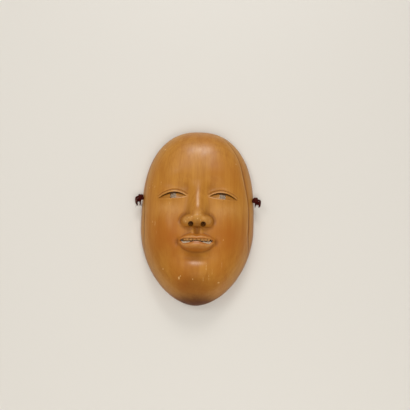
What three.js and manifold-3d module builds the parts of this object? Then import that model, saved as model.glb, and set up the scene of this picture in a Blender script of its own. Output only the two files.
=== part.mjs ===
// A carved wooden mask in the style of the young-woman masks of the Noh stage, face up on its
// flat back rim. Millimetres: +X to the viewer's right, +Y to the forehead, +Z out of the face.
import * as THREE from 'three';
import * as BufferGeometryUtils from 'three/addons/utils/BufferGeometryUtils.js';
import Module from 'manifold-3d';

const wasm = await Module();
wasm.setup();

// Driving dimensions of the wood
const HALF_HEIGHT = 106;
const HALF_WIDTH = 68;
const DEPTH = 47;
const RIM = 1.5;
const WIDEST_Y = -12;
const WALL_END = 9;
const WALL_SIDE = 9;
const WALL_FRONT = 8.5;
const CROWN = { power: 3, root: 2.2 };
const JAW = { power: 1.9, root: 1.8 };
const HAIR_SINK = 0.085;
const HAIR_STEP = 0.008;

// Places of the features on the face
const EYE = { x: 30, y: 16, half: 16.5, slant: 1.2, upperArch: 6.2, lowerArch: 1.9 };
const PUPIL = { x: 29, half: 3.4, margin: 0.3 };
const NOSE = { top: 38, tip: -9, base: -20.5, wingX: 12, wingY: -13 };
const NOSTRIL = { x: 7.2, y: -16, z: 54.5, radius: 3.2, stretch: 1.3, lean: 0.62, length: 40 };
const MOUTH = { half: 19, y: -37.5, lowerLip: -49, chinY: -77 };
const TOOTH_WIDTHS = [4.7, 4.0, 3.8, 3.2];
const TOOTH = { gap: 0.16, edgeY: -36.3, rootY: -31, frontZ: 53.5, bow: 0.012, thick: 5 };

// Cord, its bores and its knots
const CORD_DIAMETER = 2.8;
const CORD_Y = 20.5;
const CORD_Z = 13;
const BORE_DIAMETER = 4.6;
const TOUCH_GAP = 0.3;
const KNOT_START_X = 65;
const CORD_END_X = KNOT_START_X - TOUCH_GAP;
const FLOOR_Z = CORD_DIAMETER / 2 + 0.1;
const CORD_ROUTE = [
  [-CORD_END_X, CORD_Y, CORD_Z], [-60, CORD_Y, CORD_Z], [-54.5, 20.2, 12.4], [-49.5, 18.6, 9.8],
  [-45, 15.6, 5.8], [-40.5, 11.4, 2.5], [-35.5, 6, FLOOR_Z], [-30, -1, FLOOR_Z],
  [-23.5, -8.5, FLOOR_Z], [-15, -14, FLOOR_Z], [-5.5, -15.6, FLOOR_Z], [3.5, -12.4, FLOOR_Z],
  [11, -6, FLOOR_Z], [18.5, 0.4, FLOOR_Z], [27, 5.2, FLOOR_Z], [35, 10, FLOOR_Z],
  [41, 14.4, 2.7], [45.5, 17.6, 6.2], [50, 19.5, 10], [55, 20.3, 12.5],
  [60, CORD_Y, CORD_Z], [CORD_END_X, CORD_Y, CORD_Z],
];

// Each knot lies close to the wood. In widths of its pressed strand, WRAPS are the turns around the
// cord, and a tail's places are beyond their outer end. The roll is about the cord, in radians.
const STRAND = 2.5;
const KNOT_X = 66.3;
const WRAPS = { turns: 1.5, places: 8, pitch: 0.82, side: 1.5, rise: 1.05, from: 0.9 };
const KNOTS = {
  left_knot: {
    side: -1,
    roll: 0.2,
    tail: [[1, 0.15, 0.5], [1.1, -0.55, 0.85], [1.05, -1.4, 0.8], [0.9, -2.1, 0.45], [0.7, -2.7, 0]],
  },
  right_knot: {
    side: 1,
    roll: -0.25,
    tail: [[1, 0.15, 0.5], [1.1, -0.55, 0.85], [1.1, -1.4, 0.8], [1, -2.2, 0.5], [0.85, -2.9, 0.1]],
  },
};

// Fineness of the facets
const OUTER_GRID = { columns: 44, hairColumns: 4, rows: 54, middle: 0.6 };
const HOLLOW_GRID = { columns: 20, rows: 24, middle: 0.85 };
const BELOW = -20;
const ABOVE = 90;
const STRAND_SHARE = 0.76;

const WOOD = { color: 0xa9682c, roughness: 0.42, metalness: 0 };
const SILK = { color: 0x4a1516, roughness: 0.7, metalness: 0 };

const clamp = (v, low, high) => Math.min(Math.max(v, low), high);

function smooth(low, high, v) {
  const t = clamp((v - low) / (high - low), 0, 1);
  return t * t * (3 - 2 * t);
}

const bump = (v, centre, width) => Math.exp(-(((v - centre) / width) ** 2));

// Outline of the mask: its half width at a height, and its height at a half width
function halfWidth(y) {
  const curve = y > WIDEST_Y ? CROWN : JAW;
  const reach = y > WIDEST_Y ? HALF_HEIGHT - WIDEST_Y : HALF_HEIGHT + WIDEST_Y;
  const along = clamp(Math.abs(y - WIDEST_Y) / reach, 0, 1);
  return HALF_WIDTH * (1 - along ** curve.power) ** (1 / curve.root);
}

function outlineY(x, isCrown) {
  const curve = isCrown ? CROWN : JAW;
  const along = (1 - (x / HALF_WIDTH) ** curve.root) ** (1 / curve.power);
  return WIDEST_Y + (isCrown ? HALF_HEIGHT - WIDEST_Y : -HALF_HEIGHT - WIDEST_Y) * along;
}

function acrossShare(x, y) {
  return clamp(Math.abs(x) / Math.max(halfWidth(y), 1e-6), 0, 1);
}

function dome(x, y) {
  const along = clamp(Math.abs(y) / HALF_HEIGHT, 0, 1);
  const ridge = DEPTH * (1 - along ** (y > 0 ? 4.4 : 4)) ** (1 / 2.1);
  return ridge * (1 - acrossShare(x, y) ** 2.7) ** (1 / 2.05);
}

// Eyes: a socket under the brow, a full lid with a crease, and the two lid lines
function lidLines(a) {
  const along = clamp((a - EYE.x) / EYE.half, -1, 1);
  const middle = EYE.y - EYE.slant * along;
  const arch = 1 - along ** 2;
  return {
    upper: middle + EYE.upperArch * arch ** 0.9 * (1 - 0.15 * along),
    lower: middle - EYE.lowerArch * arch ** 1.2,
  };
}

function eyeRelief(a, y) {
  const { upper, lower } = lidLines(a);
  const along = smooth(1.25, 0.8, Math.abs(a - EYE.x) / EYE.half);
  const socket = -3 * bump(a, 27, 22) * bump(y, EYE.y + 8, 16);
  const innerHollow = -2.8 * bump(a, 17, 10) * bump(y, EYE.y + 12, 11);
  const lid = 4.2 * bump(a, EYE.x + 0.5, 15) * bump(y, EYE.y + 1.5, 9);
  const crease = -1 * bump(y - upper, 3.2, 0.85) * along;
  const fold = 0.5 * bump(y - upper, 1.3, 1.2) * along;
  const lowerEdge = 0.45 * bump(y - lower, -1, 1.3) * along;
  return socket + innerHollow + lid + crease + fold + lowerEdge;
}

// Nose: a straight ridge, a round tip and two wings with their grooves
function noseRelief(a, y) {
  const down = clamp((NOSE.top - y) / (NOSE.top - NOSE.tip), 0, 1);
  const under = clamp((NOSE.tip + 3 - y) / (NOSE.tip + 3 - NOSE.base), 0, 1);
  const ridge = 12.5 * down ** 1.25 * (1 - under ** 2.4) ** 0.8;
  const bridge = ridge * Math.exp(-((a / (8 + 1.8 * down)) ** 2.5));
  const tipDistance = Math.hypot(a / 9.8, (y - NOSE.tip + 1) / 9.4);
  const tip = 3.2 * Math.exp(-(tipDistance ** 2.6));
  const wingDistance = Math.hypot((a - NOSE.wingX) / 5.8, (y - NOSE.wingY) / 6);
  const wing = 7 * Math.exp(-(wingDistance ** 3));
  const grooveShare = smooth(-19, -11, y) * smooth(11, 15, a);
  const groove = -1.2 * Math.exp(-(((wingDistance - 1.4) / 0.34) ** 2)) * grooveShare;
  return bridge + tip + wing + groove;
}

// Mouth: the borders of the lips and of the slot between them
function lipLines(a) {
  const out = clamp(a / (MOUTH.half + 1.5), 0, 1);
  return {
    border: -27 - 1.7 * bump(a, 0, 3) - 6.4 * out ** 1.9,
    slotTop: -34 - 0.7 * bump(a, 0, 5) - 1.6 * smooth(14, 19.5, a),
    slotBottom: -37.6 - 2.2 * smooth(1, 14, a) + 3.2 * smooth(14.5, 19.5, a),
    chinBorder: MOUTH.lowerLip + 7.6 * out ** 2.5,
  };
}

function lipRelief(a, y) {
  const { border, slotTop, slotBottom, chinBorder } = lipLines(a);
  const taper = Math.max(1 - (a / (MOUTH.half + 3)) ** 2.6, 0);
  const down = (border - y) / Math.max(border - slotTop, 0.5);
  const upperLip = 1.1 * smooth(-0.12, 0.1, down) + 3 * smooth(0, 0.75, down);
  const low = Math.max(slotBottom - y, 0) / Math.max(slotBottom - chinBorder, 0.5);
  const fullness = 5.6 * (0.45 + 0.55 * smooth(-0.15, 0.42, low)) * (1 - smooth(0.38, 1.05, low));
  const lowerLip = fullness + 0.9 * (1 - smooth(0.9, 1.08, low));
  const below = smooth(slotTop, slotBottom, y);
  return taper * (upperLip * (1 - below) + lowerLip * below);
}

function mouthRelief(a, y) {
  const muzzle = 4.2 * bump(a, 0, 26) * bump(y, -35, 17);
  const philtrum = -1.4 * bump(a, 0, 2.6) * smooth(-29.5, -26, y) * smooth(-18, -21.5, y);
  const columns = 0.8 * bump(a, 5, 2.2) * smooth(-29, -26, y) * smooth(-18, -22, y);
  const corner = -1.8 * bump(a, MOUTH.half + 3.8, 3.6) * bump(y, MOUTH.y, 5);
  const underLip = -3.5 * bump(a, 0, 17) * bump(y, -56, 6.6);
  const chin = 4.2 * bump(a, 0, 20) * bump(y, MOUTH.chinY, 14);
  return muzzle + philtrum + columns + corner + underLip + chin + lipRelief(a, y);
}

function cheekRelief(a, y) {
  const cheek = 3.2 * bump(a, 36, 19) * bump(y, -17, 22);
  const brow = 0.9 * bump(a, 24, 20) * bump(y, 45, 12);
  return cheek + brow;
}

// The hair's edge is a step down along each side, at a share of the half width. It fades out at the
// crown and at the jaw, and on the right it turns inwards over the temple.
function hairShare(y, isLeft) {
  const atJaw = -0.05 * smooth(-60, -80, y);
  return atJaw + (isLeft
    ? 0.915 + 0.05 * smooth(-20, -46, y) + 0.025 * smooth(0, 25, y) - 0.12 * smooth(60, 105, y)
    : 0.885 + 0.08 * smooth(-20, -46, y) - 0.075 * smooth(0, 56, y) - 0.09 * smooth(60, 105, y));
}

function hairSink(across, y, isLeft) {
  const isHair = across > hairShare(y, isLeft) + HAIR_STEP / 2;
  return isHair ? HAIR_SINK * smooth(-52, -45, y) * smooth(98, 80, y) : 0;
}

// Front and hollow as heights over the plane of the back rim
function front(x, y) {
  const a = Math.abs(x);
  const across = acrossShare(x, y);
  const inside = smooth(1, 0.85, across) * smooth(HALF_HEIGHT, HALF_HEIGHT - 12, Math.abs(y));
  const relief = eyeRelief(a, y) + noseRelief(a, y) + mouthRelief(a, y) + cheekRelief(a, y);
  return RIM + (dome(x, y) + relief * inside) * (1 - hairSink(across, y, x < 0));
}

const HOLLOW_SCALE = {
  x: (HALF_WIDTH - WALL_SIDE) / HALF_WIDTH,
  y: (HALF_HEIGHT - WALL_END) / HALF_HEIGHT,
  z: (DEPTH - WALL_FRONT) / DEPTH,
};

function hollowHeight(x, y) {
  const a = Math.abs(x);
  const vault = dome(x / HOLLOW_SCALE.x, y / HOLLOW_SCALE.y) * HOLLOW_SCALE.z;
  const nose = 9 * bump(a, 0, 9.5) * bump(y, -5, 14);
  const mouth = 3.6 * bump(a, 0, 24) * bump(y, MOUTH.y, 10);
  const eyes = 1.5 * bump(a, EYE.x, 13) * bump(y, EYE.y, 9);
  return vault + nose + mouth + eyes - 1;
}

// Solids and geometries
function toSolid(positions, index) {
  const vertProperties = new Float32Array(positions);
  const triVerts = new Uint32Array(index);
  return new wasm.Manifold(new wasm.Mesh({ numProp: 3, vertProperties, triVerts }));
}

function solidOf(geometry) {
  const bare = new THREE.BufferGeometry();
  bare.setAttribute('position', geometry.getAttribute('position'));
  if (geometry.index) bare.setIndex(geometry.index);
  const merged = BufferGeometryUtils.mergeVertices(bare, 1e-4);
  return toSolid(merged.getAttribute('position').array, merged.index.array);
}

function geometryOf(solid) {
  const mesh = solid.getMesh();
  const geometry = new THREE.BufferGeometry();
  const positions = new Float32Array(mesh.numVert * 3);
  for (let i = 0; i < mesh.numVert; i += 1) {
    for (let k = 0; k < 3; k += 1) {
      positions[3 * i + k] = mesh.vertProperties[mesh.numProp * i + k];
    }
  }
  geometry.setAttribute('position', new THREE.BufferAttribute(positions, 3));
  geometry.setIndex(new THREE.BufferAttribute(new Uint32Array(mesh.triVerts), 1));
  geometry.computeVertexNormals();
  return geometry;
}

// A closed solid over a grid of plan points, between a lower and an upper surface. A surface
// is a height that varies, or a number, which makes it flat.
function gridSolid(columns, rows, plan, lower, upper) {
  const positions = [];
  const index = [];
  const edge = [];
  for (let i = 0; i < columns; i += 1) edge.push([i, 0]);
  for (let j = 0; j < rows; j += 1) edge.push([columns, j]);
  for (let i = columns; i > 0; i -= 1) edge.push([i, rows]);
  for (let j = rows; j > 0; j -= 1) edge.push([0, j]);

  const addPoint = (i, j, height) => {
    const [x, y] = plan(i / columns, j / rows);
    positions.push(x, y, typeof height === 'number' ? height : height(x, y));
    return positions.length / 3 - 1;
  };
  const addTriangle = (faceUp, a, b, c) => index.push(a, faceUp ? b : c, faceUp ? c : b);

  const flatSurface = (height, faceUp) => {
    const middle = addPoint(columns / 2, rows / 2, height);
    const ring = edge.map(([i, j]) => addPoint(i, j, height));
    ring.forEach((from, k) => addTriangle(faceUp, middle, from, ring[(k + 1) % ring.length]));
    return ring;
  };
  const curvedSurface = (height, faceUp) => {
    const first = positions.length / 3;
    const at = (i, j) => first + j * (columns + 1) + i;
    for (let j = 0; j <= rows; j += 1) {
      for (let i = 0; i <= columns; i += 1) addPoint(i, j, height);
    }
    for (let j = 0; j < rows; j += 1) {
      for (let i = 0; i < columns; i += 1) {
        addTriangle(faceUp, at(i, j), at(i + 1, j), at(i + 1, j + 1));
        addTriangle(faceUp, at(i, j), at(i + 1, j + 1), at(i, j + 1));
      }
    }
    return edge.map(([i, j]) => at(i, j));
  };
  const surface = (height, faceUp) => (
    typeof height === 'number' ? flatSurface(height, faceUp) : curvedSurface(height, faceUp));

  const low = surface(lower, false);
  const high = surface(upper, true);
  low.forEach((from, k) => {
    const next = (k + 1) % low.length;
    addTriangle(true, from, low[next], high[next]);
    addTriangle(true, from, high[next], high[k]);
  });
  return toSolid(positions, index);
}

// A place in the oval, by its share of the half width and of the way between chin and crown. The
// rows lie closer over the features and at both ends, where the last one follows the outline.
const END_HALF_WIDTH = 16;

function ovalRow(t, middle) {
  const v = 2 * t - 1;
  const spread = v * (middle + (1 - middle) * v * v);
  return spread * (1 + Math.abs(spread) - spread * spread);
}

function ovalPlace(across, row) {
  const reach = Math.abs(row);
  const y = reach * outlineY(Math.abs(across) * END_HALF_WIDTH, row > 0);
  const edgeY = reach * outlineY(END_HALF_WIDTH, row > 0);
  const toEdge = smooth(0.94, 1, reach) * (halfWidth(edgeY) - halfWidth(y));
  return [across * (halfWidth(y) + toEdge), y];
}

// Plan of the front: the face's columns end at the hair's edge, then comes the step, then the hair
function frontPlan(s, t) {
  const { columns, hairColumns, middle } = OUTER_GRID;
  const row = ovalRow(t, middle);
  const isLeft = s < 0.5;
  const line = hairShare(row * HALF_HEIGHT, isLeft);
  const column = Math.round(Math.abs(2 * s - 1) * columns / 2);
  const faceColumns = columns / 2 - hairColumns - 1;
  const share = column / faceColumns;
  const out = (column - faceColumns - 1) / hairColumns;
  const across = column > faceColumns
    ? line + HAIR_STEP + (1 - line - HAIR_STEP) * out * (2 - out)
    : line * share * (middle + (1 - middle) * share * share);
  return ovalPlace(isLeft ? -across : across, row);
}

function hollowPlan(s, t) {
  const u = 2 * s - 1;
  const [x, y] = ovalPlace(u * (1.5 - 0.5 * u * u), ovalRow(t, HOLLOW_GRID.middle));
  return [x * HOLLOW_SCALE.x, y * HOLLOW_SCALE.y];
}

// Plan of a strip between two curves of x, mirrored for the left side
function stripPlan(fromX, toX, lowLine, highLine) {
  return (s, t) => {
    const x = fromX + (toX - fromX) * s;
    const low = lowLine(x);
    return [x, low + (highLine(x) - low) * t];
  };
}

function mirrored(plan) {
  return (s, t) => {
    const [x, y] = plan(1 - s, t);
    return [-x, y];
  };
}

const bothSides = (plan) => [plan, mirrored(plan)];

function carvedBlank() {
  const outer = gridSolid(OUTER_GRID.columns, OUTER_GRID.rows, frontPlan, 0, front);
  const hollow = gridSolid(HOLLOW_GRID.columns, HOLLOW_GRID.rows, hollowPlan, BELOW, hollowHeight);
  return outer.subtract(hollow);
}

// The ball of the eye lies behind the upper lid and nearly level with the lower one
function eyeballHeight(x, y) {
  const a = Math.abs(x);
  const { upper, lower } = lidLines(a);
  const up = clamp((y - lower) / Math.max(upper - lower, 0.6), 0, 1);
  const along = clamp(Math.abs(a - EYE.x) / EYE.half, 0, 1);
  return front(x, y) - (0.5 + 2.3 * up ** 1.2) * (1 - 0.75 * along ** 3);
}

function eyeCuts() {
  const cornerGap = 0.06;
  const low = (x) => lidLines(x).lower - cornerGap;
  const high = (x) => lidLines(x).upper + cornerGap;
  const almond = stripPlan(EYE.x - EYE.half, EYE.x + EYE.half, low, high);
  const lowPupil = (x) => lidLines(x).lower + PUPIL.margin;
  const highPupil = (x) => lidLines(x).upper - PUPIL.margin;
  const pupil = stripPlan(PUPIL.x - PUPIL.half, PUPIL.x + PUPIL.half, lowPupil, highPupil);
  return [
    ...bothSides(almond).map((side) => gridSolid(14, 4, side, eyeballHeight, ABOVE)),
    ...bothSides(pupil).map((side) => gridSolid(2, 1, side, BELOW, ABOVE)),
  ];
}

function tooth(centre, width) {
  const half = (width - TOOTH.gap) / 2;
  const rounding = (x) => 0.35 * (Math.abs(x - centre) / half) ** 3;
  const edge = (x) => TOOTH.edgeY + 0.03 * Math.abs(centre) - 0.35 + rounding(x);
  const plan = stripPlan(centre - half, centre + half, edge, () => TOOTH.rootY);
  const face = TOOTH.frontZ - TOOTH.bow * centre * centre;
  return gridSolid(4, 1, plan, face - TOOTH.thick, face);
}

function mouthCut() {
  const bottom = (x) => lipLines(Math.abs(x)).slotBottom;
  const top = (x) => lipLines(Math.abs(x)).slotTop;
  const plan = stripPlan(-MOUTH.half, MOUTH.half, bottom, top);
  let slot = gridSolid(24, 1, plan, BELOW, ABOVE);
  let from = 0;
  for (const width of TOOTH_WIDTHS) {
    slot = slot.subtract(tooth(from + width / 2, width)).subtract(tooth(-from - width / 2, width));
    from += width;
  }
  return slot;
}

function nostrilCuts() {
  const inward = new THREE.Vector3(0, NOSTRIL.lean, -Math.sqrt(1 - NOSTRIL.lean ** 2));
  return [-1, 1].map((side) => {
    const bore = new THREE.CylinderGeometry(NOSTRIL.radius, NOSTRIL.radius, NOSTRIL.length, 14);
    bore.scale(1, 1, NOSTRIL.stretch);
    bore.applyQuaternion(
      new THREE.Quaternion().setFromUnitVectors(new THREE.Vector3(0, 1, 0), inward));
    const mouth = new THREE.Vector3(side * NOSTRIL.x, NOSTRIL.y, NOSTRIL.z);
    bore.translate(...mouth.addScaledVector(inward, 0.3 * NOSTRIL.length));
    return solidOf(bore);
  });
}

function boreCuts() {
  return [-1, 1].map((side) => {
    const bore = new THREE.CylinderGeometry(BORE_DIAMETER / 2, BORE_DIAMETER / 2, 40, 16);
    bore.rotateZ(Math.PI / 2);
    bore.translate(side * HALF_WIDTH, CORD_Y, CORD_Z);
    return solidOf(bore);
  });
}

function maskGeometry() {
  const cuts = [...eyeCuts(), mouthCut(), ...nostrilCuts(), ...boreCuts()];
  let wood = carvedBlank();
  for (const cut of cuts) wood = wood.subtract(cut);
  return geometryOf(wood);
}

// A round rod along a smooth curve through points
function rod(points, steps, sides, diameter) {
  const section = new THREE.Shape();
  for (let k = 0; k < sides; k += 1) {
    const turn = 2 * Math.PI * k / sides;
    const corner = [diameter / 2 * Math.cos(turn), diameter / 2 * Math.sin(turn)];
    if (k === 0) section.moveTo(...corner);
    else section.lineTo(...corner);
  }
  const extrudePath = new THREE.CatmullRomCurve3(points);
  const settings = { steps, extrudePath, bevelEnabled: false, curveSegments: 1 };
  return geometryOf(solidOf(new THREE.ExtrudeGeometry(section, settings)));
}

// A barrel knot in widths of its strand, outwards along X: the cord goes out through the middle,
// turns back, wraps around itself and goes out once more beside its first way.
function barrelKnot(tail) {
  const { turns, places, pitch, side, rise, from } = WRAPS;
  const far = from + turns * pitch;
  const wayOut = [[-0.9, 0, 0], [-0.2, -0.1, 0], [0.6, -0.4, 0], [1.3, -0.5, 0], [far, -0.5, 0]];
  const turnBack = [
    [far + 0.42, -0.6, -0.08], [far + 0.58, -0.9, -0.22],
    [far + 0.46, -1.22, -0.22], [far + 0.2, -1.42, 0.05]];
  const wraps = [];
  const steps = places * turns;
  for (let k = 1; k < steps; k += 1) {
    const angle = 2 * Math.PI * k / places;
    const x = far - (far - from) * k / steps;
    wraps.push([x, -side * Math.cos(angle), rise * Math.sin(angle)]);
  }
  const tuckIn = [
    [0.78, 1.42, 0.15], [0.5, 1.35, -0.22], [0.36, 1, -0.34],
    [0.4, 0.68, -0.22], [0.66, 0.52, -0.06], [1.1, 0.5, 0]];
  const outAgain = [[far, 0.5, 0], [far + 0.6, 0.5, 0.1]];
  const hanging = tail.map(([x, y, z]) => [far + x, y, z]);
  return [...wayOut, ...turnBack, ...wraps, ...tuckIn, ...outAgain, ...hanging];
}

// The knot outside one bore, from its start in the bore to the end of its tail
function knotPath({ side, roll, tail }) {
  const axis = new THREE.Vector3(1, 0, 0);
  return barrelKnot(tail).map(([x, y, z], k) => {
    const turned = new THREE.Vector3(x, y, z).applyAxisAngle(axis, roll).multiplyScalar(STRAND);
    const outward = k === 0 ? KNOT_START_X : KNOT_X + turned.x;
    return new THREE.Vector3(side * outward, CORD_Y + turned.y, CORD_Z + turned.z);
  });
}

const group = new THREE.Group();

function addPiece(name, geometry, look) {
  const piece = new THREE.Mesh(geometry, new THREE.MeshStandardMaterial(look));
  piece.name = name;
  group.add(piece);
}

addPiece('mask', maskGeometry(), WOOD);
const route = CORD_ROUTE.map((place) => new THREE.Vector3(...place));
addPiece('cord', rod(route, 28, 8, CORD_DIAMETER), SILK);
for (const [name, knot] of Object.entries(KNOTS)) {
  addPiece(name, rod(knotPath(knot), 48, 6, STRAND_SHARE * STRAND), SILK);
}

export default group;
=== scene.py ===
"""The looks of a carved wooden mask in the style of the Noh stage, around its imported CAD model.

The mask lies face up: +X is to the viewer's right, +Y towards the forehead, +Z out of the face.
Shapes are worked out in millimetres, as in the part's source, and become metres in the meshes.
"""

import math

import bmesh
import bpy
import numpy as np
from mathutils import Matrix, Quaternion, Vector


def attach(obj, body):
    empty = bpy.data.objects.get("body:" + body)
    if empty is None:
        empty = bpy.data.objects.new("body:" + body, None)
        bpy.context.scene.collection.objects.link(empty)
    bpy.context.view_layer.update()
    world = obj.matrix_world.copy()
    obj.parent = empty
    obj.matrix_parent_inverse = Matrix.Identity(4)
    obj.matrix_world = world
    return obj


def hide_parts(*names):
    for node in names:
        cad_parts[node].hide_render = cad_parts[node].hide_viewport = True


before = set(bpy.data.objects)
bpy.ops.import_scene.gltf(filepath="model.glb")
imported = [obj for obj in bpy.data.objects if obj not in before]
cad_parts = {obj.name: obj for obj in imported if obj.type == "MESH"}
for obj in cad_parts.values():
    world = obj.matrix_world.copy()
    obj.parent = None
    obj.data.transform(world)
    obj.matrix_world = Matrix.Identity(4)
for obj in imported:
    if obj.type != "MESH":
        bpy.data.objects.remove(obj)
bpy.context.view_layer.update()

MM = 0.001

# Driving dimensions of the wood. CROWN and JAW are the powers of the outline's two curves, and the
# hair's sink and step are shares of the depth and of the half width.
HALF_HEIGHT = 106.0
HALF_WIDTH = 68.0
DEPTH = 47.0
RIM = 1.5
WIDEST_Y = -12.0
WALL_END = 9.0
WALL_SIDE = 9.0
WALL_FRONT = 8.5
CROWN = (3.0, 2.2)
JAW = (1.9, 1.8)
HAIR_SINK = 0.085
HAIR_STEP = 0.008

# Places of the features on the face
EYE_X, EYE_Y, EYE_HALF, EYE_SLANT = 30.0, 16.0, 16.5, 1.2
UPPER_ARCH, LOWER_ARCH = 6.2, 1.9
PUPIL_X, PUPIL_HALF, PUPIL_MARGIN = 29.0, 3.4, 0.3
NOSE_TOP, NOSE_TIP, NOSE_BASE = 38.0, -9.0, -20.5
WING_X, WING_Y = 12.0, -13.0
NOSTRIL_X, NOSTRIL_Y, NOSTRIL_Z = 7.2, -16.0, 54.5
NOSTRIL_RADIUS, NOSTRIL_STRETCH, NOSTRIL_LEAN, NOSTRIL_LENGTH = 3.2, 1.3, 0.62, 40.0
MOUTH_HALF, MOUTH_Y, LOWER_LIP_Y, CHIN_Y = 19.0, -37.5, -49.0, -77.0
TOOTH_WIDTHS = (4.7, 4.0, 3.8, 3.2)
TOOTH_GAP, TOOTH_EDGE_Y, TOOTH_ROOT_Y = 0.16, -36.3, -31.0
TOOTH_FRONT_Z, TOOTH_BACK_Z, TOOTH_BOW = 53.5, 44.5, 0.012

# Cord, its bores and its knots
CORD_DIAMETER = 2.8
CORD_Y = 20.5
CORD_Z = 13.0
BORE_DIAMETER = 4.6
TOUCH_GAP = 0.3
KNOT_START_X = 65.0
CORD_END_X = KNOT_START_X - TOUCH_GAP
FLOOR_Z = CORD_DIAMETER / 2 + 0.1
CORD_ROUTE = [
    (-CORD_END_X, CORD_Y, CORD_Z), (-60, CORD_Y, CORD_Z), (-54.5, 20.2, 12.4), (-49.5, 18.6, 9.8),
    (-45, 15.6, 5.8), (-40.5, 11.4, 2.5), (-35.5, 6, FLOOR_Z), (-30, -1, FLOOR_Z),
    (-23.5, -8.5, FLOOR_Z), (-15, -14, FLOOR_Z), (-5.5, -15.6, FLOOR_Z), (3.5, -12.4, FLOOR_Z),
    (11, -6, FLOOR_Z), (18.5, 0.4, FLOOR_Z), (27, 5.2, FLOOR_Z), (35, 10, FLOOR_Z),
    (41, 14.4, 2.7), (45.5, 17.6, 6.2), (50, 19.5, 10), (55, 20.3, 12.5),
    (60, CORD_Y, CORD_Z), (CORD_END_X, CORD_Y, CORD_Z),
]

# Each knot in widths of the pressed strand: the wraps around the cord, how far the knot is rolled
# about the cord, and where its tail hangs beyond the outer end of the wraps
STRAND = 2.5
KNOT_X = 66.3
WRAP_TURNS, WRAP_PITCH, WRAP_SIDE, WRAP_RISE, WRAP_FROM = 1.5, 0.82, 1.5, 1.05, 0.9
KNOTS = {
    "left_knot": {
        "side": -1,
        "roll": 0.2,
        "tail": [
            (1.0, 0.15, 0.5), (1.1, -0.55, 0.85), (1.05, -1.4, 0.8),
            (0.9, -2.1, 0.45), (0.7, -2.7, 0)],
    },
    "right_knot": {
        "side": 1,
        "roll": -0.25,
        "tail": [
            (1.0, 0.15, 0.5), (1.1, -0.55, 0.85), (1.1, -1.4, 0.8),
            (1, -2.2, 0.5), (0.85, -2.9, 0.1)],
    },
}

# Loose threads of each knot: a place beyond the wood, a way, a length, a count and a paleness. A
# tuft without a place or a way stands at the tail's own end and points the same way.
TUFTS = {
    "left_knot": [
        (None, None, 3.4, 30, 0.2),
        ((8.0, -4.4, 2.2), (0.5, -0.8, 0.1), 2.0, 10, 0.7),
        ((3.4, -4.4, 0), (-0.2, -1, -0.1), 4.4, 30, 0.1),
    ],
    "right_knot": [
        (None, None, 1.2, 24, 0.15),
        ((2.8, -4.2, 0), (-0.15, -1, 0.1), 2.2, 26, 0.1),
        ((4.8, -4.4, 0.6), (0.1, -1, 0.2), 1.4, 6, 0.7),
    ],
}

# Where the silk of a knot is pale on its crowns, rubbed and with a painted highlight: a place beyond the
# wood, its reach and its paleness
RUBBED_AND_HIGHLIT = {
    "left_knot": ((8.6, -3.6, 3.0), 1.9, 0.7),
    "right_knot": ((8.4, 0.2, 3.2), 1.2, 0.3),
}

# Heights at which the cutters begin and end, clear of the wood
BELOW, ABOVE = -20.0, 90.0


# Small curves
def smooth(low, high, v):
    """From 0 at low to 1 at high. Where low is above high, it falls instead of rising."""
    t = np.clip((v - low) / (high - low), 0, 1)
    return t * t * (3 - 2 * t)


def bump(v, centre, width):
    """1 at the centre, about a third at the width and soon nothing."""
    return np.exp(-(((v - centre) / width) ** 2))


# Outline of the mask: its half width at a height, and its height at a half width
def half_width(y):
    up = np.clip((y - WIDEST_Y) / (HALF_HEIGHT - WIDEST_Y), 0, 1)
    down = np.clip((WIDEST_Y - y) / (HALF_HEIGHT + WIDEST_Y), 0, 1)
    upper = (1 - up ** CROWN[0]) ** (1 / CROWN[1])
    lower = (1 - down ** JAW[0]) ** (1 / JAW[1])
    return HALF_WIDTH * np.where(y > WIDEST_Y, upper, lower)


def outline_y(x, is_crown):
    def along(curve):
        return (1 - (x / HALF_WIDTH) ** curve[1]) ** (1 / curve[0])

    crown = WIDEST_Y + (HALF_HEIGHT - WIDEST_Y) * along(CROWN)
    jaw = WIDEST_Y - (HALF_HEIGHT + WIDEST_Y) * along(JAW)
    return np.where(is_crown, crown, jaw)


def across_share(x, y):
    return np.clip(np.abs(x) / np.maximum(half_width(y), 1e-6), 0, 1)


# The dome of the whole mask: how late it falls towards crown, chin and sides, and how round it is
CROWN_FALL, CHIN_FALL, END_ROUNDING = 4.4, 4.0, 2.1
SIDE_FALL, SIDE_ROUNDING = 2.7, 2.05


def dome(x, y):
    along = np.clip(np.abs(y) / HALF_HEIGHT, 0, 1)
    ridge = DEPTH * (1 - along ** np.where(y > 0, CROWN_FALL, CHIN_FALL)) ** (1 / END_ROUNDING)
    return ridge * (1 - across_share(x, y) ** SIDE_FALL) ** (1 / SIDE_ROUNDING)


# The relief of the face is made of bumps. Each has a height, then a place and a reach across and
# along the face, in millimetres.

# Eyes: a socket under the brow, a full lid with a crease, and the two lid lines
def lid_lines(a):
    along = np.clip((a - EYE_X) / EYE_HALF, -1, 1)
    middle = EYE_Y - EYE_SLANT * along
    arch = 1 - along ** 2
    upper = middle + UPPER_ARCH * arch ** 0.9 * (1 - 0.15 * along)
    return upper, middle - LOWER_ARCH * arch ** 1.2


def eye_relief(a, y):
    upper, lower = lid_lines(a)
    along = smooth(1.25, 0.8, np.abs(a - EYE_X) / EYE_HALF)
    socket = -3 * bump(a, 27, 22) * bump(y, EYE_Y + 8, 16)
    inner_hollow = -2.8 * bump(a, 17, 10) * bump(y, EYE_Y + 12, 11)
    lid = 4.2 * bump(a, EYE_X + 0.5, 15) * bump(y, EYE_Y + 1.5, 9)
    crease = -1 * bump(y - upper, 3.2, 0.85) * along
    fold = 0.5 * bump(y - upper, 1.3, 1.2) * along
    lower_edge = 0.45 * bump(y - lower, -1, 1.3) * along
    return socket + inner_hollow + lid + crease + fold + lower_edge


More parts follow.
